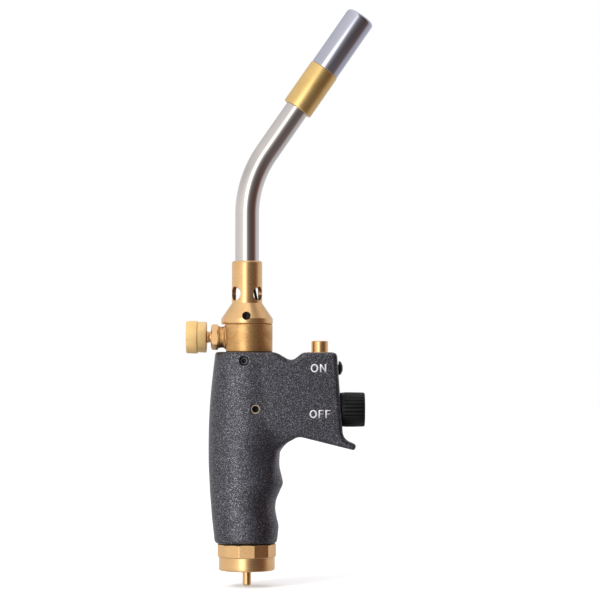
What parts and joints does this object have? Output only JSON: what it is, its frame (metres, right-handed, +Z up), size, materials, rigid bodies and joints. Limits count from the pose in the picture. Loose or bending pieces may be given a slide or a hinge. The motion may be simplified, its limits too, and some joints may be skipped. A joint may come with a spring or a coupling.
{
  "type": "propane torch",
  "caption": "Hand torch for a screw-on gas cylinder: brass inlet nut, cast pistol-style handle, side controls, spark button, bent stainless burner tube.",
  "frame": {"origin": "centre of the cylinder nut's open mouth, on the thread's axis", "axes": "+Z up along the grip and the straight part of the burner tube, +X towards the control lobe and the burner tip"},
  "size_m": [0.1065, 0.0342, 0.3301],
  "materials": {
    "handle_coat": "charcoal powder coat with fine silver flecks",
    "brass": "turned brass, lightly polished",
    "stainless": "drawn stainless tube",
    "plated_tip": "bright plated burner tip",
    "black_knob": "moulded black plastic with ribs",
    "black_screw": "black oxide steel",
    "steel": "zinc plated steel",
    "rubber": "seal rubber",
    "lead": "black silicone insulation",
    "ceramic": "glazed white ceramic",
    "igniter_plastic": "moulded nylon",
    "filter": "sintered bronze"
  },
  "bodies": {
    "handle": {"handle_casting": "handle_coat", "cylinder_nut": "brass", "valve_probe": "brass", "cylinder_seal": "rubber", "inlet_filter": "filter", "riser_tube": "brass", "shutoff_block": "brass", "hollow_pin": "brass", "valve_bonnet": "brass", "flame_valve_body": "brass", "feed_tube": "brass", "handle_grub_screw": "black_screw", "flame_gland_nut": "brass", "jet_nozzle": "brass", "mixer_cone": "brass", "mixer_grub_screw": "black_screw", "burner_tube": "stainless", "tip_coupling": "brass", "burner_tip": "plated_tip", "flame_holder": "steel", "electrode_insulator": "ceramic", "electrode_rod": "steel", "ignition_lead": "lead", "igniter_body": "igniter_plastic", "igniter_spring": "steel", "button_bush": "brass", "igniter_screw": "black_screw"},
    "flame_travel": {"flame_o_ring": "rubber"},
    "flame_control": {"flame_knob": "brass", "flame_stem": "brass", "flame_knob_screw": "steel"},
    "shutoff_travel": {"spindle_o_ring": "rubber"},
    "shutoff_control": {"shutoff_knob": "black_knob", "shutoff_spindle": "steel", "shutoff_washer": "rubber", "shutoff_knob_screw": "black_screw"},
    "ignition_button": {"igniter_button": "brass", "igniter_plunger": "igniter_plastic"}
  },
  "joints": [
    {"name": "flame_needle_travel", "type": "slide", "parent": "handle", "child": "flame_travel", "axis": [-1, 0, 0], "range_m": [0, 0.00112]},
    {"name": "flame_knob_turn", "type": "hinge", "parent": "flame_travel", "child": "flame_control", "pos_m": [-0.0289, 0, 0.1344], "axis": [-1, 0, 0], "range_deg": [0, 540]},
    {"name": "shutoff_spindle_travel", "type": "slide", "parent": "handle", "child": "shutoff_travel", "axis": [1, 0, 0], "range_m": [0, 0.001]},
    {"name": "shutoff_knob_turn", "type": "hinge", "parent": "shutoff_travel", "child": "shutoff_control", "pos_m": [0.06, 0, 0.093], "axis": [1, 0, 0], "range_deg": [0, 360]},
    {"name": "ignition_press", "type": "slide", "parent": "handle", "child": "ignition_button", "axis": [0, 0, -1], "range_m": [0, 0.004], "stiffness_N_per_m": 2000, "springref_m": -0.003, "deforming": ["igniter_spring"]}
  ],
  "couplings": [
    {"joint": "flame_knob_turn", "follows": "flame_needle_travel", "rad_per_m": 8377.6},
    {"joint": "shutoff_knob_turn", "follows": "shutoff_spindle_travel", "rad_per_m": 6283.2}
  ]
}
